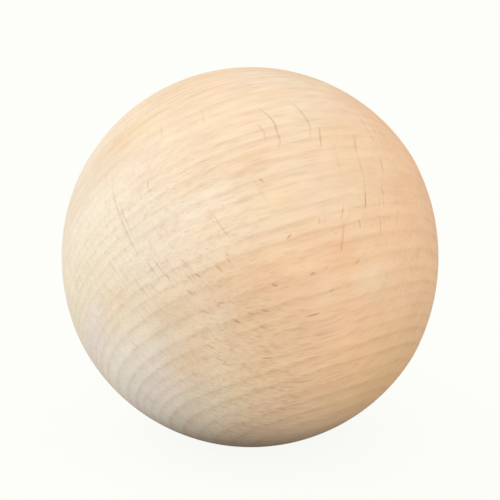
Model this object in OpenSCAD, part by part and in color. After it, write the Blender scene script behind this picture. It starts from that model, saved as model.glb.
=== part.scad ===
// Turned wooden ball, one solid piece of beech.
//
// The blank is turned between centres about the X axis, and nearly all of the
// ball is one true sphere. At each end the centres held the blank by a stub.
// The stub was parted off and sanded away by hand, and what it leaves is a dome
// that lies a little inside the sphere. The stub at the driven end is the
// thicker one, so its dome is the wider and the flatter of the two.
//
// Millimetres, +Z up, origin at the centre of the sphere.

/* [Ball] */
// Diameter of the ball, measured across the turning axis
ball_d = 80; // [40:1:150]

/* [Driven end, at +X] */
// How far the middle of the dome lies inside the sphere
driven_drop = 0.55; // [0.05:0.05:1]
// Angle from the turning axis at which the dome runs out into the sphere
driven_angle = 32; // [20:1:45]

/* [Free end, at -X] */
// How far the middle of the dome lies inside the sphere
free_drop = 0.2; // [0.05:0.05:1]
// Angle from the turning axis at which the dome runs out into the sphere
free_angle = 24; // [20:1:45]

/* [Hidden] */
$fn = 180;

beech = [0.89, 0.76, 0.60];

ball_r = ball_d / 2;

// Radius of the circle on the sphere in which a dome ends
function rim_r(angle) = ball_r * sin(angle);

// Height of a dome above the plane of its rim
function dome_h(drop, angle) = ball_r - drop - ball_r * cos(angle);

// Radius of the arc that draws a dome
function dome_r(drop, angle) =
    (rim_r(angle) ^ 2 + dome_h(drop, angle) ^ 2) / (2 * dome_h(drop, angle));

// The disc whose top is the dome's arc. The turning axis is Y in this outline
module dome_disc(drop, angle) {
    translate([0, ball_r - drop - dome_r(drop, angle)]) circle(r = dome_r(drop, angle));
}

// Half of the ball's section, from the turning axis outwards
module ball_outline() {
    intersection() {
        circle(r = ball_r);
        dome_disc(driven_drop, driven_angle);
        mirror([0, 1]) dome_disc(free_drop, free_angle);
        translate([0, -ball_r]) square([ball_r, ball_d]);
    }
}

// The whole ball, with its turning axis along X and its driven end at +X
module ball() {
    color(beech) rotate([0, 90, 0]) rotate_extrude() ball_outline();
}

ball();
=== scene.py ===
"""A turned and sanded beech ball, standing on a pale floor in soft light.

The ball is one solid piece of wood. Its form is the true sphere with a hand-sanded
dome at each end of the turning axis, and its finish is bare, sanded beech.

The wood is drawn as it grew. Every point of the ball has three places in the tree:
how far along the fibre it lies, how deep across the growth rings, and how far round
them. The rings are sheets that hardly change along the fibre, and the rays are thin
upright ribbons that cross the rings at a right angle. What shows on the surface, lines
on one side, flecks and spindles on another, is where the round surface cuts them.

Lengths are metres in the scene and millimetres in the wood.
"""

import logging
import math
from dataclasses import dataclass, field
from enum import Enum
from typing import ClassVar, Optional, Union

import bpy
import numpy as np
from mathutils import Euler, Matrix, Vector


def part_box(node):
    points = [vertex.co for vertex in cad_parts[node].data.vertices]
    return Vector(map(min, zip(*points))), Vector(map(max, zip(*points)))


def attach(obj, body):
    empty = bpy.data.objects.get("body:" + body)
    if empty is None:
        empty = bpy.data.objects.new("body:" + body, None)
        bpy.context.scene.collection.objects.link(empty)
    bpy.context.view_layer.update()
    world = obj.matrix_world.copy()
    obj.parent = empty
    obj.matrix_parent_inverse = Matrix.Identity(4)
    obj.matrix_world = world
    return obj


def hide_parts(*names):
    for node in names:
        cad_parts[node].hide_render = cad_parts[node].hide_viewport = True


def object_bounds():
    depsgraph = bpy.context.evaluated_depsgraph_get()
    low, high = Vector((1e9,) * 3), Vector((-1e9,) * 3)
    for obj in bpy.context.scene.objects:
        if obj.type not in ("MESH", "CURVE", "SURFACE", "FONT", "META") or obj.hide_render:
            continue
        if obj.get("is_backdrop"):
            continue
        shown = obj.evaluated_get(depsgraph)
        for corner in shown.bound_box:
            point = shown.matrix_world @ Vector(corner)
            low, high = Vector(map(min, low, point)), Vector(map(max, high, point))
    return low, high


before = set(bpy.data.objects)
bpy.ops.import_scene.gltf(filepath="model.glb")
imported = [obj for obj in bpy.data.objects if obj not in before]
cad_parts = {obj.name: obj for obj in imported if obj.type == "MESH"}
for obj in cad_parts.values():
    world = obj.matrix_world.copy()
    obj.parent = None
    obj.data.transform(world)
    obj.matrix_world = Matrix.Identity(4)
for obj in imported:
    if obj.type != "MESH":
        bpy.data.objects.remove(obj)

LOG = logging.getLogger("wooden ball")

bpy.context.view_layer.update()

BODY = "root"
NODE = "ball"
# Name of the flat map that the surface is laid out on when its finish is baked
FLAT_MAP = "OFBake"

MM = 0.001
# A reach in mm that goes right through the ball
THROUGH = 1000.0
PICTURE_SIDE = 500
# How close two whole numbers are held to be the same
NEAR = 0.25

# How far above the level the camera looks down from, in degrees
VIEW_ELEVATION = 15.0

Colour = tuple[float, float, float]
Size = tuple[float, float, float]
Spot = tuple[float, float]
Span = tuple[float, float]
Pair = tuple[float, float]
Feed = Union["Signal", float, Colour]
# A point of a curve: its place, and its height or its colour
Stop = tuple[float, Union[float, Colour]]


def linear(red: float, green: float, blue: float) -> Colour:
    """Turns a colour as a screen shows it into the light it stands for.

    Args:
        red, green, blue: Parts of the colour as shown, each from 0 to 255.

    Returns:
        The same colour in linear parts from 0 to 1.
    """

    shares = np.array((red, green, blue)) / 255.0
    # The sRGB curve is straight near black and a power above it
    bent = ((shares + 0.055) / 1.055) ** 2.4
    light = np.where(shares <= 0.04045, shares / 12.92, bent)
    return (float(light[0]), float(light[1]), float(light[2]))


# ---- Wiring of shader trees ----


@dataclass(frozen=True)
class Signal:
    """An output in a shader tree that can be reckoned with like a number."""

    wiring: "Wiring"
    socket: bpy.types.NodeSocket

    def __add__(self, other: Feed) -> "Signal":
        """This signal plus another."""
        return self.wiring.math("ADD", self, other)

    def __radd__(self, other: Feed) -> "Signal":
        """A number plus this signal."""
        return self.wiring.math("ADD", other, self)

    def __sub__(self, other: Feed) -> "Signal":
        """This signal less another."""
        return self.wiring.math("SUBTRACT", self, other)

    def __rsub__(self, other: Feed) -> "Signal":
        """A number less this signal."""
        return self.wiring.math("SUBTRACT", other, self)

    def __mul__(self, other: Feed) -> "Signal":
        """This signal times another."""
        return self.wiring.math("MULTIPLY", self, other)

    def __rmul__(self, other: Feed) -> "Signal":
        """A number times this signal."""
        return self.wiring.math("MULTIPLY", other, self)

    def __truediv__(self, other: Feed) -> "Signal":
        """This signal over another."""
        return self.wiring.math("DIVIDE", self, other)


@dataclass
class Wiring:
    """Places nodes in one shader tree and joins them up."""

    tree: bpy.types.NodeTree
    placed: int = 0
    # How the nodes are set out in the editor: how many to a row, and how far apart
    columns: ClassVar[int] = 12
    spacing: ClassVar[tuple[int, int]] = (190, 210)

    def place(
        self, kind: str, feeds: Optional[dict[str, Feed]] = None, **settings: object
    ) -> bpy.types.Node:
        """Adds a node, sets its options and feeds its inputs.

        Args:
            kind: The node's Blender type.
            feeds: What its inputs get by name.
            settings: Options of the node by name.

        Returns:
            The new node.
        """
        node = self.tree.nodes.new(kind)
        row, column = divmod(self.placed, self.columns)
        node.location = (self.spacing[0] * column, -self.spacing[1] * row)
        self.placed += 1
        for name, value in settings.items():
            setattr(node, name, value)
        for name, feed in (feeds or {}).items():
            self.join(node.inputs[name], feed)
        return node

    def join(self, socket: bpy.types.NodeSocket, feed: Feed) -> None:
        """Feeds a socket from a signal, or sets it to a number or a colour.

        Args:
            socket: The input to feed.
            feed: A signal, a number, or a vector or colour as a tuple.
        """
        if isinstance(feed, Signal):
            self.tree.links.new(feed.socket, socket)
        elif isinstance(feed, tuple) and len(socket.default_value) == 4:
            socket.default_value = (*feed, 1.0)
        else:
            socket.default_value = feed

    def out(self, node: bpy.types.Node, name: Union[str, int] = 0) -> Signal:
        """The signal that leaves a node by the named output."""
        return Signal(self, node.outputs[name])

    def math(self, operation: str, *feeds: Feed, clamp: bool = False) -> Signal:
        """Does one sum on numbers.

        Args:
            operation: The Math node's operation.
            feeds: What it works on.
            clamp: Whether the result is held between 0 and 1.

        Returns:
            The result.
        """
        node = self.place("ShaderNodeMath", operation=operation, use_clamp=clamp)
        for socket, feed in zip(node.inputs, feeds):
            self.join(socket, feed)
        return self.out(node)

    def vector(self, operation: str, *feeds: Feed) -> Signal:
        """Does one sum on vectors.

        Args:
            operation: The Vector Math node's operation.
            feeds: What it works on.

        Returns:
            The result, a number for a length or a dot product.
        """
        node = self.place("ShaderNodeVectorMath", operation=operation)
        for socket, feed in zip([s for s in node.inputs if s.enabled], feeds):
            self.join(socket, feed)
        single = operation in ("LENGTH", "DOT_PRODUCT", "DISTANCE")
        return self.out(node, "Value" if single else "Vector")

    def bundle(self, x: Feed, y: Feed, z: Feed) -> Signal:
        """Puts three numbers together.

        Args:
            x, y, z: The numbers.

        Returns:
            The vector.
        """
        node = self.place("ShaderNodeCombineXYZ")
        for socket, feed in zip(node.inputs, (x, y, z)):
            self.join(socket, feed)
        return self.out(node)

    def step(self, value: Feed, low: Feed, high: Feed) -> Signal:
        """Rises smoothly from 0 to 1 over a span of values, or falls over it.

        Args:
            value: What it goes by.
            low: Where it is 0.
            high: Where it is 1, which may be the lesser of the two.

        Returns:
            The step.
        """
        feeds = {"Value": value, "From Min": low, "From Max": high}
        node = self.place("ShaderNodeMapRange", feeds, interpolation_type="SMOOTHSTEP")
        return self.out(node)

    def curve(self, value: Feed, points: tuple[Stop, ...]) -> Signal:
        """Follows a smooth curve through points from 0 to 1.

        Args:
            value: The place on the curve.
            points: Place of each point, and its height or its colour.

        Returns:
            The height or the colour of the curve.
        """
        node = self.place("ShaderNodeValToRGB", {"Fac": value})
        node.color_ramp.interpolation = "CARDINAL"
        stops = node.color_ramp.elements
        while len(stops) < len(points):
            stops.new(0.5)
        for stop, (at, height) in zip(stops, points):
            stop.position = at
            colour = height if isinstance(height, tuple) else (height,) * 3
            stop.color = (*colour, 1.0)
        return self.out(node, "Color")

    def noise(self, place: Feed, scale: float, detail: float, seed: float) -> Signal:
        """Soft noise around 0 that keeps between about -1 and 1.

        Args:
            place: Where in the noise, as a vector.
            scale: Swings per unit of that vector.
            detail: How many finer layers it has.
            seed: Which noise it is.

        Returns:
            The noise.
        """
        feeds = {"Vector": place, "W": seed, "Scale": scale, "Detail": detail}
        node = self.place("ShaderNodeTexNoise", feeds, noise_dimensions="4D")
        return 2.0 * self.out(node, "Fac") - 1.0

    def tint(self, kind: str, share: Feed, under: Feed, over: Feed) -> Signal:
        """Lays one colour over another.

        Args:
            kind: How they mix, such as MIX or MULTIPLY.
            share: How much the upper one counts.
            under: The lower colour.
            over: The upper colour.

        Returns:
            The mixed colour.
        """
        node = self.place("ShaderNodeMix", data_type="RGBA", blend_type=kind)
        node.clamp_factor = True
        by_kind = [s for s in node.inputs if s.type == "RGBA"]
        self.join(node.inputs[0], share)
        self.join(by_kind[0], under)
        self.join(by_kind[1], over)
        return Signal(self, next(s for s in node.outputs if s.type == "RGBA"))


class Kind(Enum):
    """Kinds of socket that a node group has."""

    NUMBER = "NodeSocketFloat"
    VECTOR = "NodeSocketVector"


class Effect:
    """A shader node group with named inputs and outputs, built once.

    A subclass names the sockets and wires them up in draw.
    """

    title: ClassVar[str] = ""
    takes: ClassVar[dict[str, Kind]] = {}
    gives: ClassVar[dict[str, Kind]] = {}

    def __init__(self) -> None:
        """Builds the group."""
        self.group = bpy.data.node_groups.new(self.title, "ShaderNodeTree")
        for name, kind in self.takes.items():
            self.group.interface.new_socket(name, in_out="INPUT", socket_type=kind.value)
        for name, kind in self.gives.items():
            self.group.interface.new_socket(name, in_out="OUTPUT", socket_type=kind.value)
        wiring = Wiring(self.group)
        entry = wiring.place("NodeGroupInput")
        given = self.draw(wiring, {n: wiring.out(entry, n) for n in self.takes})
        end = wiring.place("NodeGroupOutput")
        for name, signal in given.items():
            wiring.join(end.inputs[name], signal)
        LOG.info("node group %s with %d nodes", self.title, len(self.group.nodes))

    def draw(self, wiring: Wiring, given: dict[str, Signal]) -> dict[str, Signal]:
        """Wires the group.

        Args:
            wiring: The group's own wiring.
            given: Its inputs by name.

        Returns:
            Its outputs by name.
        """
        raise NotImplementedError

    def use(self, wiring: Wiring, **feeds: Feed) -> dict[str, Signal]:
        """Places the group in a tree.

        Args:
            wiring: The tree it goes into.
            feeds: What its inputs get, by name with _ for a space.

        Returns:
            Its outputs by name.
        """
        named = {name.replace("_", " "): feed for name, feed in feeds.items()}
        node = wiring.place("ShaderNodeGroup", named, node_tree=self.group)
        return {name: wiring.out(node, name) for name in self.gives}


# ---- The wood ----


@dataclass(frozen=True)
class Growth:
    """How the ball lay in the tree, and how the tree grew.

    The fibre runs nearly along the turning axis. Heading, tilt and roll turn the
    ball's axes into the tree's: the first then points along the fibre, the second
    round the rings and the third across them towards the pith.
    """

    # In degrees
    heading: float = 20.8
    tilt: float = 10.4
    roll: float = 128.0
    # The rings curve, so the depth of a point falls off to the sides (per mm)
    bow_across: float = -0.0055
    bow_round: float = -0.0012
    bow_both: float = -0.0072
    # The rays fan out from the pith, at right angles to the rings
    fan: float = 0.059
    fan_across: float = 0.00425
    fan_round: float = -0.0079
    fan_both: float = -0.00155

    def axes(self) -> tuple[Vector, Vector, Vector]:
        """Finds the tree's own directions.

        Returns:
            The directions along the fibre, round the rings and towards the pith.
        """
        turn = [math.radians(a) for a in (self.roll, -self.tilt, self.heading)]
        spin = Euler(turn, "XYZ").to_matrix()
        return (spin.col[0], spin.col[1], spin.col[2])

    def depth(self, around: Feed, across: Feed) -> Feed:
        """Depth across the curved rings of a place on the straight axes."""
        bow = self.bow_across * across * across + self.bow_round * around * around
        return across + (bow + self.bow_both * across * around)

    def fanned(self, around: Feed, across: Feed) -> Feed:
        """Place round the rings, by rays that fan out, of one on the straight axes."""
        fan = self.fan * across + self.fan_across * across * across
        return around + (fan + self.fan_round * around * around + self.fan_both * across * around)

    def fan_slopes(self, around: Feed, across: Feed) -> tuple[Feed, Feed]:
        """Finds how fast the fanned place changes.

        Args:
            around, across: A place on the straight axes.

        Returns:
            The changes per mm round the rings and across them.
        """
        by_round = 1.0 + (2.0 * self.fan_round * around + self.fan_both * across)
        by_across = self.fan + (2.0 * self.fan_across * across + self.fan_both * around)
        return by_round, by_across


class GrainPlaces(Effect):
    """Where a point of the ball lay in the tree, in mm.

    Grain is its place along the fibre, across the rings and round them. Stance is 1
    where the rays stand upright on the surface and 0 where they lie in it, and Lie is 1
    where the fibre lies in the surface and 0 where it ends there.
    """

    title = "Grain places"
    takes = {"Place": Kind.VECTOR}
    gives = {
        "Fibre": Kind.NUMBER, "Depth": Kind.NUMBER, "Grain": Kind.VECTOR,
        "Stance": Kind.NUMBER, "Lie": Kind.NUMBER,
    }

    def __init__(self, growth: Growth) -> None:
        """Builds the group for one way of lying in the tree."""
        self.growth = growth
        super().__init__()

    def draw(self, wiring: Wiring, given: dict[str, Signal]) -> dict[str, Signal]:
        """Turns the place into the tree's axes and bends rings and rays to shape.

        Args:
            wiring: The group's own wiring.
            given: Its inputs by name.

        Returns:
            Its outputs by name.
        """
        grown, place = self.growth, given["Place"]
        axes = [tuple(axis) for axis in grown.axes()]
        along, around, across = (wiring.vector("DOT_PRODUCT", place, axis) for axis in axes)
        depth = grown.depth(around, across)
        by_round, by_across = grown.fan_slopes(around, across)
        turned = wiring.vector("SCALE", axes[1], by_round)
        leant = wiring.vector("SCALE", axes[2], by_across)
        side = wiring.vector("NORMALIZE", wiring.vector("ADD", turned, leant))
        outwards = wiring.vector("NORMALIZE", place)
        return {
            "Fibre": along,
            "Depth": depth,
            "Grain": wiring.bundle(along, depth, grown.fanned(around, across)),
            "Stance": wiring.vector("LENGTH", wiring.vector("CROSS_PRODUCT", side, outwards)),
            "Lie": wiring.vector("LENGTH", wiring.vector("CROSS_PRODUCT", axes[0], outwards)),
        }


@dataclass(frozen=True)
class Swing:
    """A slow change in the width of the rings from year to year.

    Years is how far it shifts the count, length how many mm it takes to come round
    again, and start where in its round the ball's middle lies, in radians.
    """

    years: float
    length: float
    start: float


class Late(Enum):
    """How dark a year's late wood is, beside the darkest that the finish allows for."""

    FAINT = 0.20
    SOFT = 0.30
    PLAIN = 0.40
    BOLD = 0.51
    HEAVY = 0.65


@dataclass(frozen=True)
class Rings:
    """The yearly rings: how wide they grew, and which years ended dark."""

    # The year at the ball's middle, the width of a year there in mm, and how much
    # narrower the years grow towards the pith (per mm)
    first: float = 7.81
    width: float = 1.84
    narrowing: float = 0.0051
    swings: tuple[Swing, ...] = (
        Swing(0.194, 13.28, 2.328),
        Swing(0.072, 8.24, 1.956),
        Swing(0.116, 9.80, -0.22),
        Swing(0.243, 23.96, -0.677),
    )
    years: dict[Late, tuple[int, ...]] = field(
        default_factory=lambda: {
            Late.FAINT: (1, 4, 5, 12),
            Late.SOFT: (0, 2, 3, 6, 7, 11, 20, 21),
            Late.BOLD: (14, 15, 16, 17, 19, 26, 27),
            Late.HEAVY: (23, 24),
        }
    )
    # Darkness of a year's wood from the bright early wood through the late line and on
    profile: tuple[Pair, ...] = (
        (0.0, 0.0), (0.15, 0.02), (0.25, 0.20), (0.33, 0.60), (0.40, 1.0),
        (0.46, 0.88), (0.54, 0.64), (0.66, 0.40), (0.82, 0.15), (0.97, 0.0),
    )
    line_place: float = 0.40
    # How much the darkness of a year differs by chance
    chance: float = 0.08


class GrowthRings(Effect):
    """Darkness of the yearly rings at a depth in the tree."""

    title = "Growth rings"
    takes = {"Depth": Kind.NUMBER, "Wander": Kind.NUMBER}
    gives = {"Late wood": Kind.NUMBER}

    def __init__(self, rings: Rings) -> None:
        """Builds the group for one set of rings."""
        self.rings = rings
        super().__init__()

    def draw(self, wiring: Wiring, given: dict[str, Signal]) -> dict[str, Signal]:
        """Counts the years along the depth and shades each by its profile.

        Args:
            wiring: The group's own wiring.
            given: Its inputs by name.

        Returns:
            Its outputs by name.
        """
        rings = self.rings
        depth = given["Depth"] + given["Wander"]
        count = rings.first + (depth + rings.narrowing * depth * depth) / rings.width
        for swing in rings.swings:
            turn = depth * (2.0 * math.pi / swing.length) + swing.start
            count = count + swing.years * wiring.math("SINE", turn)
        shifted = count + rings.line_place
        year = wiring.math("FLOOR", shifted)
        darkness = wiring.curve(shifted - year, rings.profile)
        strength: Feed = Late.PLAIN.value
        for late, years in rings.years.items():
            for number in years:
                here = wiring.math("COMPARE", year, float(number), NEAR)
                strength = strength + (late.value - Late.PLAIN.value) * here
        middle = {"W": year + 0.5}
        chance = wiring.place("ShaderNodeTexWhiteNoise", middle, noise_dimensions="1D")
        tone = 2.0 * wiring.out(chance, "Value") - 1.0
        return {"Late wood": darkness * strength * (1.0 + rings.chance * tone)}


class RayRibbons(Effect):
    """Rays as thin upright ribbons, one to a cell of the wood.

    Cell is the room of one ray along the fibre, across the rings and round them, and
    Reach is half of its height, length and thickness, all in mm. Share is how many of
    the cells hold a ray.
    """

    title = "Ray ribbons"
    takes = {
        "Grain": Kind.VECTOR, "Cell": Kind.VECTOR, "Reach": Kind.VECTOR,
        "Seed": Kind.NUMBER, "Share": Kind.NUMBER, "Edge": Kind.NUMBER,
    }
    gives = {"Ray": Kind.NUMBER, "Chance": Kind.NUMBER}

    def draw(self, wiring: Wiring, given: dict[str, Signal]) -> dict[str, Signal]:
        """Finds the nearest ray and how deep inside it the point lies.

        Args:
            wiring: The group's own wiring.
            given: Its inputs by name.

        Returns:
            Its outputs by name.
        """
        room = wiring.vector("DIVIDE", given["Grain"], given["Cell"])
        seed = wiring.bundle(given["Seed"], given["Seed"], 0.0)
        moved = wiring.vector("ADD", room, seed)
        feeds = {"Vector": moved, "Scale": 1.0}
        cells = wiring.place("ShaderNodeTexVoronoi", feeds, voronoi_dimensions="3D")
        off = wiring.vector("SUBTRACT", moved, wiring.out(cells, "Position"))
        in_mm = wiring.vector("MULTIPLY", off, given["Cell"])
        near = wiring.vector("LENGTH", wiring.vector("DIVIDE", in_mm, given["Reach"]))
        parts = wiring.place("ShaderNodeSeparateColor", {"Color": wiring.out(cells, "Color")})
        kept = wiring.math("LESS_THAN", wiring.out(parts, 0), given["Share"])
        body = wiring.step(near, 1.0, 1.0 - given["Edge"])
        return {"Ray": body * kept, "Chance": wiring.out(parts, 1)}


class GrainMark(Effect):
    """One soft-edged patch at a place in the grain."""

    title = "Grain mark"
    takes = {"Grain": Kind.VECTOR, "Centre": Kind.VECTOR, "Reach": Kind.VECTOR}
    gives = {"Mark": Kind.NUMBER}

    def draw(self, wiring: Wiring, given: dict[str, Signal]) -> dict[str, Signal]:
        """Fades from the patch's middle to its reach.

        Args:
            wiring: The group's own wiring.
            given: Its inputs by name.

        Returns:
            Its outputs by name.
        """
        off = wiring.vector("SUBTRACT", given["Grain"], given["Centre"])
        near = wiring.vector("LENGTH", wiring.vector("DIVIDE", off, given["Reach"]))
        return {"Mark": wiring.step(near, 1.0, 0.0)}


class RayCut(Effect):
    """One ray that the surface cuts open, a thin flat lens that tapers to its ends.

    Side is the lens's direction over half its thickness and Offset its place along
    Side, so its middle lies where Place by Side comes within 1 of Offset.
    """

    title = "Ray cut"
    takes = {
        "Place": Kind.VECTOR, "Side": Kind.VECTOR, "Offset": Kind.NUMBER,
        "Middle": Kind.VECTOR, "Half length": Kind.NUMBER, "Strength": Kind.NUMBER,
    }
    gives = {"Mark": Kind.NUMBER}

    def draw(self, wiring: Wiring, given: dict[str, Signal]) -> dict[str, Signal]:
        """Fades from the lens's middle to its two sides and its ends.

        Args:
            wiring: The group's own wiring.
            given: Its inputs by name.

        Returns:
            Its outputs by name.
        """
        across = wiring.vector("DOT_PRODUCT", given["Place"], given["Side"]) - given["Offset"]
        off = wiring.vector("DISTANCE", given["Place"], given["Middle"]) / given["Half length"]
        body = wiring.step(across * across + off * off, 1.0, 0.0)
        return {"Mark": body * given["Strength"]}


class FibreStreaks(Effect):
    """Fine streaks along the fibre, as the cut wood cells leave them."""

    title = "Fibre streaks"
    # How much deeper the dark streaks are, and what gives the wood back its mean
    depth: ClassVar[float] = 0.5
    lift: ClassVar[float] = 0.08
    detail: ClassVar[float] = 2.0
    seed: ClassVar[float] = 3.7
    takes = {"Grain": Kind.VECTOR, "Stretch": Kind.NUMBER, "Fineness": Kind.NUMBER}
    gives = {"Streak": Kind.NUMBER}

    def draw(self, wiring: Wiring, given: dict[str, Signal]) -> dict[str, Signal]:
        """Draws noise that is long along the fibre, and deeper where it is dark.

        Args:
            wiring: The group's own wiring.
            given: Its inputs by name.

        Returns:
            Its outputs by name.
        """
        long = wiring.math("DIVIDE", 1.0, given["Stretch"])
        shape = wiring.bundle(long, 1.0, 1.0)
        drawn = wiring.vector("MULTIPLY", given["Grain"], shape)
        fine = wiring.vector("SCALE", drawn, given["Fineness"])
        plain = wiring.noise(fine, 1.0, self.detail, self.seed)
        deeper = self.depth * wiring.math("ABSOLUTE", plain)
        return {"Streak": plain - deeper + self.lift}


@dataclass(frozen=True)
class Cut:
    """Where a single ray shows on the ball, as a dark line or dash, in mm.

    Its ends are places on the ball as the camera sees it, right of and above the
    ball's middle. Bow is how far its middle stands off to the left of the straight
    line between them.
    """

    start: Spot
    end: Spot
    width: float
    strength: float
    bow: float = 0.0
    # A ray fades out past the ends that are given for it
    overrun: ClassVar[float] = 1.25

    def sheet(self, radius: float) -> tuple[Vector, float, Vector, float]:
        """Finds the flat sheet that cuts the ball along this line.

        Args:
            radius: Radius of the ball, in mm.

        Returns:
            The sheet's side and offset as a ray cut takes them, its middle and half its
            length.
        """
        first, last = Vector(self.start), Vector(self.end)
        chord = last - first
        left = Vector((-chord.y, chord.x)).normalized()
        middle = (first + last) / 2.0 + left * self.bow
        places = [self.on_ball(spot, radius) for spot in (first, middle, last)]
        if self.bow:
            side = (places[1] - places[0]).cross(places[2] - places[0]).normalized()
        else:
            side = places[0].cross(places[2]).normalized()
        # A sheet that leans shows wider than it is thick
        thickness = self.width * side.cross(places[1].normalized()).length
        scaled = side / (thickness / 2.0)
        half = self.overrun * (places[2] - places[0]).length / 2.0
        return scaled, scaled.dot(places[0]), places[1], half

    @staticmethod
    def on_ball(spot: Vector, radius: float) -> Vector:
        """Finds where a spot that the camera sees lies on the ball.

        Args:
            spot: How far right of and above the ball's middle it shows.
            radius: Radius of the ball, in mm.

        Returns:
            The place in the ball's own axes.
        """
        towards = math.sqrt(radius**2 - spot.length_squared)
        seen = Vector((spot.x, -towards, spot.y))
        return Euler((-math.radians(VIEW_ELEVATION), 0.0, 0.0)).to_matrix() @ seen


@dataclass(frozen=True)
class Patch:
    """A soft patch of wood that differs in redness, in light or in yellow.

    Its middle and reach are in mm along the fibre and across the rings. It goes right
    through the wood the third way. Fibres and rays are how much more open those lie,
    and rings is how much bolder the late wood is. Light is partly the wood's own tone
    and partly painted light and shade.
    """

    middle: Spot
    reach: Spot
    redness: float = 0.0
    light: float = 0.0
    gold: float = 0.0
    fibres: float = 0.0
    rays: float = 0.0
    rings: float = 0.0
    qualities: ClassVar[tuple[str, ...]] = ("redness", "light", "gold", "fibres", "rays", "rings")


@dataclass(frozen=True)
class RayKind:
    """One kind of ray: its room in the wood, half its size, and how it shows.

    Room and reach are in mm along the fibre, across the rings and round them. Plain
    and late are how much it shows in plain and in late wood, and what that gains
    towards the driven end.
    """

    room: Size
    reach: Size
    # How many of the rooms hold one, how dark it is, and how much of it is soft edge
    share: float
    darkness: float
    seed: float
    edge: float = 0.8
    plain: Pair = (0.75, -0.2)
    late: Pair = (0.8, 1.0)
    # How dark the faintest is beside the darkest
    faintest: float = 0.2

    def by_chance(self, chance: Signal) -> Signal:
        """How dark one of them is, most of them faint and a few dark."""
        return self.faintest + (1.0 - self.faintest) * chance * chance

    def showing(self, driven: Signal, late: Signal) -> Signal:
        """How much it shows at a point, by how near the driven end and how late it is."""
        in_plain = self.plain[0] + self.plain[1] * driven
        return in_plain + (self.late[0] + self.late[1] * driven) * late


@dataclass(frozen=True)
class Veil:
    """Soft noise in the wood.

    Fineness is its swings per mm, or those along the fibre, across the rings and round
    them where they differ.
    """

    fineness: Union[float, Size]
    strength: float
    seed: float
    detail: float = 2.0

    def drawn(self, wiring: Wiring, place: Signal) -> Signal:
        """Draws the noise.

        Args:
            wiring: The tree it goes into.
            place: Where in the wood, in mm.

        Returns:
            The noise, around 0 and up to its strength.
        """
        scale = self.fineness
        if isinstance(self.fineness, tuple):
            place, scale = wiring.vector("MULTIPLY", place, self.fineness), 1.0
        return self.strength * wiring.noise(place, scale, self.detail, self.seed)


@dataclass(frozen=True)
class Openness:
    """How open the cut wood lies: at the free end, and what changes it from there.

    Driven is what it gains towards the driven end, and driven_deep what more it gains
    there over the deep span across the rings. Bark_side is its share on that side.
    """

    free_end: float
    driven: float
    driven_deep: float
    deep: Span
    bark_side: float


@dataclass(frozen=True)
class Streaks:
    """Streaks along the fibre: how long and fine, and how strong they are.

    Flat is how much stronger they are where the rings lie flat in the surface.
    """

    stretch: float
    fineness: float
    strength: float
    flat: float = 0.0
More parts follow.
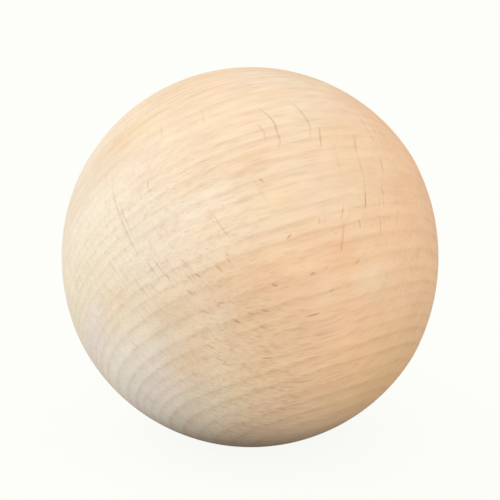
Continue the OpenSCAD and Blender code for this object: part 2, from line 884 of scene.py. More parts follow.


# Soft patches of the wood on the side that the camera sees, and some beyond it. Their light
# is partly the wood's own tone and partly painted light and shade
PATCHES_WITH_PAINTED_LIGHT: tuple[Patch, ...] = (
    Patch((17, -13), (15, 12), redness=-0.22),
    Patch((12, -4.5), (18, 6), redness=-0.10),
    Patch((-30, -15), (15, 10), redness=0.15, light=-0.06),
    Patch((-17, 4.5), (10, 4.5), redness=-0.12),
    Patch((-28, 12), (7, 6), redness=0.07),
    Patch((-20, 28), (17, 11), redness=-0.18),
    Patch((8, 15), (20, 5), redness=-0.07),
    Patch((24, -2), (9, 5), redness=-0.07),
    Patch((30, 7), (8, 10), redness=0.07),
    Patch((18, 7.5), (26, 3.5), light=-0.055),
    Patch((-15, 16), (12, 6), light=-0.065),
    Patch((-37, 17), (9, 9), light=0.07),
    Patch((3, 25), (17, 5), light=0.07),
    Patch((-16, 32), (11, 5), light=-0.08),
    Patch((-4, -9), (18, 14), light=0.03),
    Patch((7, -19), (12, 6), redness=-0.10),
    Patch((14, 30), (26, 12), gold=0.12),
    Patch((-38, 4), (13, 20), gold=0.08),
    Patch((-12, 19), (16, 6), light=-0.035),
    Patch((-18, 6), (10, 6), light=0.035),
    Patch((-3, 33), (24, 6), redness=-0.22, light=0.06),
    Patch((28, 18), (7, 5), light=0.04, gold=0.06),
    Patch((30, 7), (8, 6), redness=0.08),
    Patch((-21, -17), (10, 8), gold=0.09),
    Patch((4, -15), (13, 8), gold=-0.05),
    Patch((20, -7), (8, 7), gold=-0.07),
    Patch((-30, 15), (7, 6), gold=0.06),
    Patch((-18, 25), (10, 5), gold=0.05),
    Patch((-4, 7.5), (8, 4), redness=0.03, gold=0.05),
    Patch((-34.5, 10), (6, 5.5), redness=0.18),
    Patch((-26, 20.5), (7, 4.5), redness=0.16),
    Patch((6, 15), (6, 3), redness=0.18),
    Patch((24, 10), (6, 4), redness=0.14),
    Patch((11, 18), (8, 3), redness=-0.30),
    Patch((-39, 9), (4, 6), gold=-0.12),
    Patch((-30, 23.5), (5, 4), redness=-0.12, light=0.06),
    Patch((-26.5, 15), (5, 3), redness=0.10, light=-0.06),
    Patch((-6, 1), (6, 3), redness=0.10),
    Patch((-19, 17), (4, 2.5), redness=-0.12),
    Patch((0, 17.5), (5, 2.5), redness=-0.14),
    Patch((-16.5, 7), (5, 3), redness=0.08),
    Patch((-22, -17), (7, 5), redness=0.10, light=-0.025, gold=-0.05),
    Patch((-5, 22), (7, 4), light=-0.05),
    Patch((20, 1.5), (6, 8), redness=-0.10),
    Patch((-17.5, 1), (5, 3), redness=0.07),
    Patch((-28.5, -6), (5, 5), gold=0.05),
    Patch((-37.5, 12), (5, 7), gold=-0.05),
    Patch((2, 4), (5, 3), redness=-0.06, light=0.015),
    # Painted light: this patch makes the lower left greyer and bluer, a painted cool light from
    # the left
    Patch((-33, 20), (8, 9), redness=-0.04, light=0.01, gold=-0.06),
    Patch((-5, 3.5), (19, 6), fibres=0.2, rays=1.1),
    Patch((-9, 2), (19, 8), rings=1),
    Patch((-8, -15), (13, 7), rings=0.7),
    Patch((-2, 11), (14, 6), rings=0.35),
    Patch((26, 7), (18, 13), rings=-0.6),
    Patch((14, 19), (10, 6), rings=-0.3),
    Patch((2, -14), (12, 6), fibres=0.6, rays=0.5),
    Patch((-21, 11), (13, 8), fibres=0.3, rays=0.9),
    Patch((-5, 18.5), (9, 6), fibres=-0.5, rays=-0.3),
    Patch((-17, 30), (13, 7), fibres=0.4, rays=0.6),
    Patch((-30, 18), (15, 14), fibres=-0.45, rays=-0.1),
)

# Rays that the surface cuts along their edge, seen as long fine lines
HAIRLINES: tuple[Cut, ...] = (
    Cut((1.2, 29), (5.3, 20.3), 0.68, 0.53, 1.66),
    Cut((0.9, 25.8), (3, 21.8), 0.68, 0.32, 0.40),
    Cut((6.6, 30.9), (11.2, 21.9), 0.78, 0.34, 1.74),
    Cut((13.2, 25.3), (13.4, 20.8), 0.57, 0.61),
    Cut((20.1, 24.2), (20.4, 20.2), 0.60, 0.42),
    Cut((20.4, 20.6), (21.8, 14.8), 0.70, 0.24),
    Cut((21.7, 15.4), (21.9, 9.6), 0.60, 0.36),
    Cut((21.9, 12.7), (21.8, 9.2), 0.34, 1),
    Cut((15.8, 20.6), (17.4, 15.7), 0.68, 0.15, 0.23),
    Cut((25.1, 20.6), (25.8, 15.7), 0.78, 0.30),
    Cut((24.8, 12.5), (24.7, 9.4), 0.68, 0.21),
    Cut((24.9, 7.8), (24.8, 4), 0.45, 0.36),
    Cut((17.5, 6.2), (17, 1.3), 0.78, 0.37),
    Cut((20.6, 7.1), (20.7, 5.4), 0.45, 0.66),
    Cut((12.9, 7.4), (12.8, 6.1), 0.68, 0.33),
    Cut((-27.2, 15.4), (-21.9, 1.6), 0.78, 0.33, -0.79),
    Cut((-20, 14.7), (-18.9, 12.1), 0.57, 0.39, -0.26),
    Cut((-19.9, 4.1), (-15.5, -4.4), 0.57, 0.11, 0.22),
    Cut((-13.5, 0.1), (-10.1, -3.6), 0.68, 0.30, 0.26),
    Cut((-25, -2.2), (-23.3, -4.5), 0.37, 0.22),
    Cut((-20.4, -7.9), (-16, -12.7), 0.57, 0.14, -0.30),
    Cut((-19.6, -4.8), (-17, -7), 0.78, 0.18),
    Cut((-29.6, -3.4), (-25.5, -8), 0.78, 0.18, -0.56),
    Cut((-28.3, 0.5), (-24.8, -4.5), 0.45, 0.23, 0.15),
    Cut((13.9, 8.2), (13.9, 6.1), 0.45, 0.16),
    Cut((15.7, 21.7), (15.7, 20.4), 0.45, 0.26),
    Cut((16.2, 21.9), (16.2, 20.4), 0.45, 0.26),
    Cut((15.1, 21.4), (15.1, 20.2), 0.45, 0.14),
    Cut((16.6, 23.8), (16.6, 22.3), 0.45, 0.18),
    Cut((16.4, 20.3), (17, 17.5), 0.45, 0.20),
    Cut((25.9, 8.4), (25.8, 5.9), 0.45, 0.15),
    Cut((26.6, 8.4), (26.6, 6.9), 0.45, 0.18),
    Cut((28.3, 8.9), (28.2, 5.7), 0.45, 0.17),
    Cut((33.6, 6.3), (33.5, 3.9), 0.45, 0.20),
    Cut((35.7, 6.2), (35.5, 3.7), 0.45, 0.20),
    Cut((32.8, 6.4), (32.7, 4.7), 0.45, 0.13),
    Cut((34.4, 10.8), (34.3, 7.5), 0.45, 0.14),
)

# Broader rays that come to the surface end on, seen as short dark dashes
DASHES: tuple[Cut, ...] = (
    Cut((-10.4, -3), (-9.3, -3.8), 0.59, 0.78),
    Cut((-6.6, -1.4), (-5.2, -2.8), 0.59, 0.64),
    Cut((-4.7, 1.2), (-4.2, 0.1), 0.59, 0.50),
    Cut((-12, -6), (-10.8, -7.1), 0.59, 0.60),
    Cut((-3.4, -11.6), (-1.8, -12.4), 0.59, 0.92),
    Cut((1.8, -9.8), (3.5, -10.1), 0.52, 0.74),
    Cut((1.6, -12.8), (2.9, -13.3), 0.59, 0.51),
    Cut((10.2, -11.2), (13.1, -10.5), 0.52, 0.91),
    Cut((-8.4, -16.4), (-6.5, -17.5), 0.43, 0.66),
    Cut((-9.6, -10.1), (-7.7, -10.5), 0.59, 0.52),
    Cut((3.7, -5), (5.1, -5.4), 0.59, 0.80),
    Cut((10.9, -3.3), (12.1, -2.8), 0.59, 0.77),
    Cut((14.6, -6.6), (15.7, -5.9), 0.59, 0.52),
    Cut((19.8, -1.4), (20.6, -0.3), 0.59, 0.56),
    Cut((6.7, 3.3), (7.5, 4.4), 0.59, 0.83),
    Cut((1.4, 14.8), (2.5, 14), 0.59, 0.59),
    Cut((-0.6, -10.3), (0.5, -10.7), 0.59, 0.54),
    Cut((-6.1, -8.6), (-4.7, -8.5), 0.59, 0.51),
    Cut((-11.4, -21.8), (-10.4, -22.9), 0.52, 0.48),
    Cut((17, 2.3), (17.2, 1.1), 0.59, 0.39),
    Cut((-16, -3.1), (-15.2, -4.4), 0.28, 0.92),
    Cut((4, -14.8), (5.8, -14.2), 0.52, 0.50),
    Cut((2, -19.1), (4.3, -19), 0.43, 0.86),
    Cut((-25.9, 4.1), (-25.1, 3.3), 0.52, 0.33),
    Cut((3.8, -5), (5, -5.4), 1.50, 0.22),
    Cut((11.1, -3.4), (12.1, -3), 1.40, 0.18),
    Cut((1.5, 14.7), (2.5, 14.1), 1.30, 0.15),
    Cut((-4.7, 1.4), (-4.1, 0.1), 1.30, 0.15),
)


@dataclass(frozen=True)
class Beech:
    """Bare beech, turned and sanded: pale cream that reddens along the fibre."""

    # From pale sap wood to the reddest heart wood
    shades: tuple[tuple[float, Colour], ...] = (
        (0.0, linear(241, 232, 216)),
        (0.5, linear(240, 214, 183)),
        (1.0, linear(240, 198, 158)),
    )
    # How red the wood is, from the free end of the fibre to the driven end
    sap_redness: tuple[Pair, ...] = (
        (0.0, 0.14), (0.1, 0.20), (0.2, 0.33), (0.3, 0.45), (0.45, 0.52),
        (0.6, 0.58), (0.7, 0.72), (0.8, 0.86), (0.9, 0.97),
    )
    heart_redness: tuple[Pair, ...] = (
        (0.0, 0.0), (0.1, 0.17), (0.18, 0.38), (0.25, 0.60), (0.35, 0.80),
        (0.45, 0.87), (0.55, 0.93), (0.8, 0.94),
    )
    # Length of fibre that the redness is given over, in mm
    length: float = 80.0
    # What is left of the wood's colour in the darkest late wood, in a ray that is cut
    # lengthwise and in one that is cut across
    late_wood: Colour = (0.880, 0.825, 0.768)
    ray: Colour = (0.71, 0.59, 0.50)
    ray_end: Colour = (0.745, 0.59, 0.50)
    growth: Growth = Growth()
    rings: Rings = Rings()
    # Where the wood changes over, in mm along the fibre
    driven_half: Span = (-8.0, 16.0)
    free_tip: Span = (-20.0, -36.0)
    upper_along: Span = (-22.0, -8.0)
    # Where it changes over, in mm across the rings
    heart: Span = (9.0, 15.0)
    flat_sawn: Span = (12.0, 24.0)
    free_tip_deep: Span = (12.0, 22.0)
    pithward: Span = (-14.0, 0.0)
    upper: Span = (4.0, -6.0)
    # How nearly the fibre lies in the surface where vessels begin to show as lines
    lying: Span = (0.5, 0.9)
    # How far the rings wander, in mm, and a cut ray strays from its flat sheet each way
    wander: Veil = Veil(0.12, 0.10, 1.3, 1.0)
    sway: tuple[Veil, ...] = tuple(Veil(0.32, 0.12, seed, 1.0) for seed in (2.1, 6.3, 8.9))
    # How unevenly dark a ray is along its cut
    ray_uneven: Veil = Veil(0.4, 0.5, 4.4, 1.0)
    # How much bolder the late wood is at the free tip, and the mottle on the upper side
    free_tip_late: float = 0.8
    upper_mottle: float = 0.5
    # How much redder than grey the shade of a streak is
    warmth: float = 0.4
    # Unevenness of the late wood, of the light and of the redness
    patchy: Veil = Veil((0.22, 0.9, 0.5), 1.2, 5.1, 1.0)
    mottle: Veil = Veil((0.14, 0.6, 0.4), 0.07, 9.4)
    blush: Veil = Veil((0.12, 0.4, 0.3), 0.05, 12.7)
    # Fine streaks of the cut fibres, and long broad ones
    fibres: Streaks = Streaks(stretch=16.0, fineness=3.2, strength=0.095, flat=0.05)
    seams: Streaks = Streaks(stretch=60.0, fineness=1.6, strength=0.035)
    fibre_openness: Openness = Openness(
        free_end=1.35, driven=-0.75, driven_deep=-0.15, deep=(12.0, 24.0), bark_side=0.5
    )
    ray_openness: Openness = Openness(
        free_end=1.3, driven=0.6, driven_deep=-1.1, deep=(4.0, 18.0), bark_side=0.6
    )
    patches: tuple[Patch, ...] = PATCHES_WITH_PAINTED_LIGHT
    # Small rays in the wood, fine ones and broader ones
    rays: tuple[RayKind, ...] = (
        RayKind((2.6, 11.0, 0.6), (1.2, 5.5, 0.13), share=0.9, darkness=0.40, seed=5.0),
        RayKind((2.4, 12.0, 2.2), (0.9, 6.0, 0.24), share=0.7, darkness=0.44, seed=17.5),
    )
    # Vessels, seen as short fine lines where they are cut lengthwise
    vessels: RayKind = RayKind(
        room=(3.6, 0.7, 0.7),
        reach=(1.8, 0.15, 0.15),
        share=0.6,
        darkness=0.80,
        seed=7.0,
        plain=(0.6, 0.0),
        late=(1.3, 0.0),
    )
    hairlines: tuple[Cut, ...] = HAIRLINES
    dashes: tuple[Cut, ...] = DASHES
    # How rough the surface is, and how much rougher on a pale streak
    roughness: float = 0.62
    rough_streaks: float = 0.05
    specular: float = 0.04
    # Height of the relief in mm, how much of it shows, and the streaks' part in it
    relief: float = 0.02
    relief_share: float = 0.5
    relief_streaks: float = 0.6

    def material(self, radius: float) -> bpy.types.Material:
        """Builds the material.

        Args:
            radius: Radius of the ball, in mm.

        Returns:
            The finished material.
        """
        made = bpy.data.materials.new("Sanded beech")
        made.use_nodes = True
        made.node_tree.nodes.clear()
        wiring = Wiring(made.node_tree)
        figure = Figure(wiring, self)
        base = figure.with_rays(figure.ground())
        base = figure.with_streaks(figure.with_cuts(base, radius))
        streak = figure.fine_streak

        relief = {
            "Distance": self.relief * MM,
            "Strength": self.relief_share,
            "Height": self.relief_streaks * streak + figure.late,
        }
        looks = {
            "Base Color": base,
            "Roughness": self.roughness + self.rough_streaks * streak,
            "Normal": wiring.out(wiring.place("ShaderNodeBump", relief)),
            "Specular IOR Level": self.specular,
        }
        shader = wiring.place("ShaderNodeBsdfPrincipled", looks)
        end = wiring.place("ShaderNodeOutputMaterial")
        made.node_tree.links.new(shader.outputs[0], end.inputs["Surface"])
        return made


class Figure:
    """The figure of the wood, wired into one material's tree layer by layer."""

    def __init__(self, wiring: Wiring, finish: Beech) -> None:
        """Finds what the layers share: the places in the tree, and the late wood.

        Args:
            wiring: The material's wiring.
            finish: The wood.
        """
        self.wiring = wiring
        self.finish = finish
        coordinates = wiring.place("ShaderNodeTexCoord")
        in_mm = (1.0 / MM,) * 3
        self.spot = wiring.vector("MULTIPLY", wiring.out(coordinates, "Object"), in_mm)
        self.places = GrainPlaces(finish.growth).use(wiring, Place=self.spot)
        self.grain = self.places["Grain"]
        self.driven = self.over("Fibre", finish.driven_half)
        self.pithward = self.over("Depth", finish.pithward)
        self.changes = self.add_patches()
        self.late = self.late_wood()
        self.fibre_openness = self.how_open(finish.fibre_openness) + self.changes["fibres"]
        self.streaks = FibreStreaks()
        self.fine_streak = self.streak(finish.fibres)

    def over(self, way: str, span: Span) -> Signal:
        """Rises from 0 to 1 over a span along the fibre or across the rings."""
        return self.wiring.step(self.places[way], *span)

    def streak(self, streaks: Streaks) -> Signal:
        """The streaks at a place in the grain, around 0."""
        sizes = {"Stretch": streaks.stretch, "Fineness": streaks.fineness}
        return self.streaks.use(self.wiring, Grain=self.grain, **sizes)["Streak"]

    def how_open(self, openness: Openness) -> Signal:
        """Wires how open the wood lies.

        Args:
            openness: How open, at the free end and on from there.

        Returns:
            The openness at a point.
        """
        deep = self.over("Depth", openness.deep)
        gained = self.driven * (openness.driven + openness.driven_deep * deep)
        side = openness.bark_side + (1.0 - openness.bark_side) * self.pithward
        return (openness.free_end + gained) * side

    def add_patches(self) -> dict[str, Feed]:
        """Adds up the soft patches.

        Returns:
            How much they change each quality of the wood, by its name.
        """
        blot = GrainMark()
        changes: dict[str, Feed] = dict.fromkeys(Patch.qualities, 0.0)
        for patch in self.finish.patches:
            share = blot.use(
                self.wiring,
                Grain=self.grain,
                Centre=(*patch.middle, 0.0),
                Reach=(*patch.reach, THROUGH),
            )["Mark"]
            for quality in Patch.qualities:
                amount = getattr(patch, quality)
                if amount:
                    changes[quality] = changes[quality] + amount * share
        return changes

    def late_wood(self) -> Signal:
        """Wires the rings.

        Returns:
            How dark the late wood is at a point.
        """
        finish = self.finish
        wander = finish.wander.drawn(self.wiring, self.grain)
        rings = GrowthRings(finish.rings)
        drawn = rings.use(self.wiring, Depth=self.places["Depth"], Wander=wander)
        tip = self.over("Fibre", finish.free_tip) * self.over("Depth", finish.free_tip_deep)
        patchy = finish.patchy.drawn(self.wiring, self.grain)
        uneven = 1.0 + patchy + finish.free_tip_late * tip
        return drawn["Late wood"] * (1.0 + self.changes["rings"]) * uneven

    def ground(self) -> Signal:
        """Wires the colour of the wood and its rings.

        Returns:
            The colour, with nothing on it yet.
        """
        wiring, finish = self.wiring, self.finish
        along = 0.5 + self.places["Fibre"] / finish.length
        heart = self.over("Depth", finish.heart)
        sap_red = wiring.curve(along, finish.sap_redness)
        heart_red = wiring.curve(along, finish.heart_redness)
        redness = sap_red + heart * (heart_red - sap_red) + self.changes["redness"]
        base = wiring.curve(redness, finish.shades)
        ringed = wiring.tint("MIX", self.late, (1.0, 1.0, 1.0), finish.late_wood)
        return wiring.tint("MULTIPLY", 1.0, base, ringed)

    def with_rays(self, base: Signal) -> Signal:
        """Lays the small rays and the vessels over the wood.

        Args:
            base: The colour so far.

        Returns:
            The colour with them.
        """
        wiring, finish = self.wiring, self.finish
        opened = self.how_open(finish.ray_openness) + self.changes["rays"]
        lying = wiring.step(self.places["Lie"], *finish.lying)
        kinds = [(kind, opened) for kind in finish.rays]
        kinds.append((finish.vessels, lying * self.fibre_openness))
        ribbons = RayRibbons()
        for kind, openness in kinds:
            height, length, thickness = kind.reach
            ray = ribbons.use(
                wiring,
                Grain=self.grain,
                Cell=kind.room,
                Reach=wiring.bundle(height, length, thickness * self.places["Stance"]),
                Seed=kind.seed,
                Share=kind.share,
                Edge=kind.edge,
            )
            dark = kind.darkness * kind.by_chance(ray["Chance"]) * ray["Ray"]
            shown = dark * kind.showing(self.driven, self.late) * openness
            base = wiring.tint("MULTIPLY", shown, base, finish.ray)
        return base

    def with_cuts(self, base: Signal, radius: float) -> Signal:
        """Lays the single cut rays over the wood.

        Args:
            base: The colour so far.
            radius: Radius of the ball, in mm.

        Returns:
            The colour with them.
        """
        wiring, finish = self.wiring, self.finish
        strays = [veil.drawn(wiring, self.spot) for veil in finish.sway]
        swayed = wiring.vector("ADD", self.spot, wiring.bundle(*strays))
        uneven = 1.0 + finish.ray_uneven.drawn(wiring, self.spot)
        cut = RayCut()
        kinds = ((finish.hairlines, finish.ray, uneven), (finish.dashes, finish.ray_end, 1.0))
        for lines, colour, darkness in kinds:
            marks: Feed = 0.0
            for line in lines:
                side, offset, middle, half = line.sheet(radius)
                drawn = cut.use(
                    wiring,
                    Place=swayed,
                    Side=tuple(side),
                    Offset=offset,
                    Middle=tuple(middle),
                    Half_length=half,
                    Strength=line.strength,
                )
                marks = wiring.math("MAXIMUM", marks, drawn["Mark"])
            base = wiring.tint("MULTIPLY", marks * darkness, base, colour)
        return base

    def with_streaks(self, base: Signal) -> Signal:
        """Lays the streaks and the soft unevenness over the wood.

        Args:
            base: The colour so far.

        Returns:
            The colour with them.
        """
        wiring, finish = self.wiring, self.finish
        flat = finish.fibres.flat * self.over("Depth", finish.flat_sawn)
        fibres = (finish.fibres.strength + flat) * self.fibre_openness * self.fine_streak
        seams = finish.seams.strength * self.streak(finish.seams)
        upper = self.over("Depth", finish.upper) * self.over("Fibre", finish.upper_along)
        mottle = (1.0 + finish.upper_mottle * upper) * finish.mottle.drawn(wiring, self.grain)
        shade = fibres + seams + mottle
        # The patches' light here is partly painted light and shade
        light = 1.0 + (self.changes["light"] + shade)
        blush = finish.blush.drawn(wiring, self.grain)
        pale = light * (1.0 - blush + finish.warmth * shade)
        blue = pale * (1.0 - self.changes["gold"])
        return wiring.tint("MULTIPLY", 1.0, base, wiring.bundle(light, pale, blue))


# ---- The ball ----


@dataclass(frozen=True)
class Dome:
    """The sanded end of the ball, a shallow dome a little inside the sphere.

    Drop is how far its middle lies inside, in metres, and angle is where it runs out
    into the sphere, in degrees from the axis.
    """

    drop: float
    angle: float

    def rounding(self, radius: float) -> tuple[float, float]:
        """Finds the sphere whose cap is this dome.

        Args:
            radius: Radius of the ball.

        Returns:
            The dome's radius, and how far along the axis its centre lies.
        """
        rim = radius * math.sin(math.radians(self.angle))
        height = radius - self.drop - radius * math.cos(math.radians(self.angle))
        dome_radius = (rim * rim + height * height) / (2.0 * height)
        return dome_radius, radius - self.drop - dome_radius


@dataclass
class Ball:
    """The beech ball, one turned piece."""

    radius: float
    driven_drop: float
    free_drop: float
    driven_angle: float = 32.0
    free_angle: float = 24.0
    # Faces along one edge of the cube that the mesh is spread from
    divisions: int = 128
    # How softly a dome's rim runs out, and how far the surface keeps inside the frame's
    rim_blend: float = 0.08 * MM
    skin: float = 0.01 * MM
    # Bare border of each cube face on the flat map, as a share of the face
    border: float = 0.01

    @classmethod
    def from_frame(cls) -> "Ball":
        """Reads the ball's sizes from the frame.

        Returns:
            The ball.
        """
        low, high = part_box(NODE)
        radius = (high.z - low.z) / 2.0
        return cls(radius=radius, driven_drop=radius - high.x, free_drop=radius + low.x)

    def directions(self) -> tuple[np.ndarray, np.ndarray, np.ndarray]:
        """Spreads points evenly over a sphere, as the six faces of a cube.

        Returns:
            Unit directions, the corners of each face, and the corners' places on the
            unfolded cube.
        """
        n = self.divisions
        steps = np.arange(n + 1)
        first, second = np.meshgrid(steps, steps, indexing="ij")
        lattice, faces, unfolded = [], [], []
        for axis in range(3):
            for side in (0, n):
                spot = np.empty((n + 1, n + 1, 3), dtype=np.int64)
                spot[..., axis] = side
                spot[..., (axis + 1) % 3] = first
                spot[..., (axis + 2) % 3] = second
                start = len(lattice) * (n + 1) ** 2
                index = start + np.arange((n + 1) ** 2).reshape(n + 1, n + 1)
                quad = [index[:-1, :-1], index[1:, :-1], index[1:, 1:], index[:-1, 1:]]
                if side == 0:
                    quad = quad[::-1]
                faces.append(np.stack([q.ravel() for q in quad], axis=1))
                lattice.append(spot.reshape(-1, 3))
                corner = np.array([axis, side // n])
                flat = np.stack([first, second], axis=-1).reshape(-1, 2) / n
                if side == 0:
                    flat[:, 0] = 1.0 - flat[:, 0]
                kept = 1.0 - 2.0 * self.border
                unfolded.append((corner + self.border + kept * flat) / np.array([3.0, 2.0]))
        points = np.concatenate(lattice)
        key = (points[:, 0] * (n + 1) + points[:, 1]) * (n + 1) + points[:, 2]
        _, chosen, place = np.unique(key, return_index=True, return_inverse=True)
        quads = np.concatenate(faces)
        spread = np.tan((points[chosen] / n - 0.5) * (math.pi / 2.0))
        unit = spread / np.linalg.norm(spread, axis=1, keepdims=True)
        return unit, place.reshape(-1)[quads], np.concatenate(unfolded)[quads]

    def reach(self, unit: np.ndarray) -> np.ndarray:
        """Finds how far the surface lies from the centre.

        Args:
            unit: Directions from the centre.

        Returns:
            The distance in each direction.
        """
        bare = self.radius - self.skin
        reach = np.full(len(unit), bare)
        ends = (
            (1.0, Dome(self.driven_drop, self.driven_angle)),
            (-1.0, Dome(self.free_drop, self.free_angle)),
        )
        for side, dome in ends:
            dome_radius, centre = dome.rounding(bare)
            along = side * unit[:, 0] * centre
            cap = along + np.sqrt(dome_radius**2 - centre**2 + along**2)
            gap = np.clip(0.5 + 0.5 * (cap - reach) / self.rim_blend, 0.0, 1.0)
            mixed = cap * (1.0 - gap) + reach * gap
            reach = mixed - self.rim_blend * gap * (1.0 - gap)
        return reach

    def build(self) -> bpy.types.Object:
        """Builds the ball's mesh in its place.

        Returns:
            The ball.
        """
        unit, quads, unfolded = self.directions()
        points = unit * self.reach(unit)[:, None]
        mesh = bpy.data.meshes.new("Ball")
        mesh.vertices.add(len(points))
        mesh.vertices.foreach_set("co", points.astype(np.float32).ravel())
        mesh.loops.add(quads.size)
        mesh.loops.foreach_set("vertex_index", quads.astype(np.int32).ravel())
        mesh.polygons.add(len(quads))
        mesh.polygons.foreach_set("loop_start", np.arange(0, quads.size, 4, dtype=np.int32))
        mesh.update(calc_edges=True)
        flat = mesh.uv_layers.new(name=FLAT_MAP)
        flat.uv.foreach_set("vector", unfolded.astype(np.float32).ravel())
        mesh.validate()
        mesh.shade_smooth()
        ball = bpy.data.objects.new("Beech_ball", mesh)
        bpy.context.scene.collection.objects.link(ball)
        LOG.info("%s of %d faces, %.3f mm in radius", ball.name, len(quads), self.radius / MM)
        return ball

    def dress(self, ball: bpy.types.Object, finish: Beech) -> None:
        """Gives the ball its finish and its place in the frame.

        Args:
            ball: The built ball.
            finish: What it is made of.
        """
        ball.data.materials.append(finish.material(self.radius / MM))
        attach(ball, BODY)
        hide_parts(NODE)


# ---- Floor, light and camera ----


@dataclass(frozen=True)
class Lamp:
    """A soft round lamp that faces the ball, with angles in degrees and sizes in metres."""

    name: str
    azimuth: float
    elevation: float
    strength: float
    size: float = 1.0
    distance: float = 1.5

    def hang(self) -> bpy.types.Object:
        """Hangs the lamp.

        Returns:
            The lamp.
        """
        turn, rise = math.radians(self.azimuth), math.radians(self.elevation)
        towards = Vector(
            (math.sin(turn) * math.cos(rise), -math.cos(turn) * math.cos(rise), math.sin(rise))
        )
        data = bpy.data.lights.new(self.name, "AREA")
        data.shape = "DISK"
        data.size = self.size
        # A strength of 1 lights a white sheet that faces the lamp to plain white
        data.energy = self.strength * (math.pi * self.distance) ** 2
        lamp = bpy.data.objects.new(self.name, data)
        bpy.context.scene.collection.objects.link(lamp)
        lamp.location = towards * self.distance
        lamp.rotation_euler = (-towards).to_track_quat("-Z", "Y").to_euler()
        lamp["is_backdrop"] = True
        return lamp


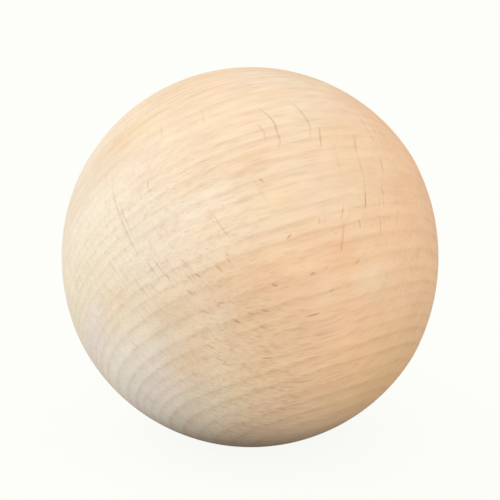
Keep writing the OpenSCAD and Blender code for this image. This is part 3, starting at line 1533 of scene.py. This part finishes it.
@dataclass
class Studio:
    """A pale floor under an even white sky, with soft lamps."""

    floor_height: float
    floor_side: float = 6.0
    # How much light the floor throws back, and how far from the foot of the ball a painted
    # shadow in that light takes to clear. It stands in for the ball's own shadow and only
    # darkens the light that the floor throws back
    floor_grey: float = 0.48
    painted_shadow_from: float = 28.0 * MM
    painted_shadow_clear: float = 41.0 * MM
    # The colour that the floor shows, and how much of it is lit and so takes a shadow
    floor_seen: Colour = linear(253, 254, 249)
    shadow_share: float = 0.07
    # Strength of the sky's light, which shows as plain white
    sky: float = 0.817
    lamps: tuple[Lamp, ...] = (
        Lamp("Front_lamp", -10.0, 20.0, 0.263),
        Lamp("Left_lamp", -110.0, 20.0, 0.298),
        Lamp("Right_lamp", 60.0, 20.0, 0.146),
    )

    def seen(self, wiring: Wiring) -> Signal:
        """Tells what the camera sees from what only throws light.

        Args:
            wiring: The wiring of the material or the sky.

        Returns:
            1 for what is seen, straight or by a mirror or glass, and 0 for light.
        """
        path = wiring.place("ShaderNodeLightPath")
        straight = wiring.out(path, "Is Camera Ray")
        mirrored = wiring.out(path, "Is Glossy Ray")
        through = wiring.out(path, "Is Transmission Ray")
        return wiring.math("MAXIMUM", straight, wiring.math("MAXIMUM", mirrored, through))

    def matt(self, wiring: Wiring, colour: Feed) -> bpy.types.Node:
        """Places a shader with no gloss.

        Args:
            wiring: The material's wiring.
            colour: The shader's colour.

        Returns:
            The shader.
        """
        feeds = {"Base Color": colour, "Roughness": 1.0, "Specular IOR Level": 0.0}
        return wiring.place("ShaderNodeBsdfPrincipled", feeds)

    def lay_floor(self) -> bpy.types.Object:
        """Lays the floor, which looks near white but throws little light back.

        Near the foot of the ball the light that it throws back fades to none, a painted shadow.

        Returns:
            The floor.
        """
        half = self.floor_side / 2.0
        corners = [(-half, -half), (half, -half), (half, half), (-half, half)]
        mesh = bpy.data.meshes.new("Floor")
        mesh.from_pydata([(x, y, self.floor_height) for x, y in corners], [], [(0, 1, 2, 3)])
        floor = bpy.data.objects.new("Floor", mesh)
        bpy.context.scene.collection.objects.link(floor)
        made = bpy.data.materials.new("Pale floor")
        made.use_nodes = True
        made.node_tree.nodes.clear()
        wiring = Wiring(made.node_tree)
        links = made.node_tree.links

        place = wiring.out(wiring.place("ShaderNodeTexCoord"), "Object")
        level = wiring.vector("MULTIPLY", place, (1.0, 1.0, 0.0))
        # Painted shadow: the light that the floor throws back fades to none near the ball's foot
        clear = wiring.step(wiring.vector("LENGTH", level), self.painted_shadow_from, self.painted_shadow_clear)
        bounce_with_painted_shadow = self.matt(wiring, self.floor_grey * clear)
        glow = wiring.place("ShaderNodeEmission", {"Color": self.floor_seen})
        shown = wiring.place("ShaderNodeMixShader", {"Fac": self.shadow_share})
        links.new(glow.outputs[0], shown.inputs[1])
        links.new(self.matt(wiring, self.floor_seen).outputs[0], shown.inputs[2])
        choice = wiring.place("ShaderNodeMixShader", {"Fac": self.seen(wiring)})
        links.new(bounce_with_painted_shadow.outputs[0], choice.inputs[1])
        links.new(shown.outputs[0], choice.inputs[2])
        end = wiring.place("ShaderNodeOutputMaterial")
        links.new(choice.outputs[0], end.inputs["Surface"])
        mesh.materials.append(made)
        floor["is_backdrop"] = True
        return floor

    def light(self) -> list[bpy.types.Object]:
        """Sets the even sky and hangs the lamps.

        Returns:
            The lamps.
        """
        world = bpy.data.worlds.new("Sky")
        bpy.context.scene.world = world
        world.use_nodes = True
        world.node_tree.nodes.clear()
        wiring = Wiring(world.node_tree)
        strength = self.sky + (1.0 - self.sky) * self.seen(wiring)
        feeds = {"Color": (1.0, 1.0, 1.0), "Strength": strength}
        sky = wiring.place("ShaderNodeBackground", feeds)
        end = wiring.place("ShaderNodeOutputWorld")
        world.node_tree.links.new(sky.outputs[0], end.inputs["Surface"])
        return [lamp.hang() for lamp in self.lamps]


@dataclass
class Camera:
    """The camera, which looks down on the ball from the front."""

    ball_radius: float
    elevation: float = VIEW_ELEVATION
    # How many radii off it stands, and half the ball's width in the picture
    radii_off: float = 8.0
    half_width: float = 190.1
    # Where the ball's centre shows, in pixels right and down from the middle
    right: float = 0.9
    down: float = 7.15
    # Width of its sensor, in mm, and the nearest that it sees, in metres
    sensor: float = 36.0
    nearest: float = 0.01

    def place(self) -> bpy.types.Object:
        """Places the camera and makes it the scene's own.

        Returns:
            The camera.
        """
        data = bpy.data.cameras.new("Camera")
        edge = math.asin(1.0 / self.radii_off)
        focal = self.half_width / math.tan(edge)
        data.sensor_width = self.sensor
        data.lens = focal * self.sensor / PICTURE_SIDE
        data.shift_x = -self.right / PICTURE_SIDE
        data.shift_y = self.down / PICTURE_SIDE
        data.clip_start = self.nearest
        camera = bpy.data.objects.new("Camera", data)
        bpy.context.scene.collection.objects.link(camera)
        off = self.radii_off * self.ball_radius
        rise = math.radians(self.elevation)
        camera.location = (0.0, -off * math.cos(rise), off * math.sin(rise))
        camera.rotation_euler = (math.pi / 2.0 - rise, 0.0, 0.0)
        bpy.context.scene.camera = camera
        return camera


def main() -> None:
    """Builds the ball, its stage and the camera."""
    logging.basicConfig(level=logging.INFO, format="%(name)s: %(message)s")
    bpy.context.scene.view_settings.view_transform = "Standard"
    ball = Ball.from_frame()
    piece = ball.build()
    ball.dress(piece, Beech())
    studio = Studio(floor_height=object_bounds()[0].z)
    for thing in (studio.lay_floor(), *studio.light(), Camera(ball.radius).place()):
        LOG.info("%s at %s mm", thing.name, [round(x / MM) for x in thing.location])


if __name__ == "__main__":
    main()
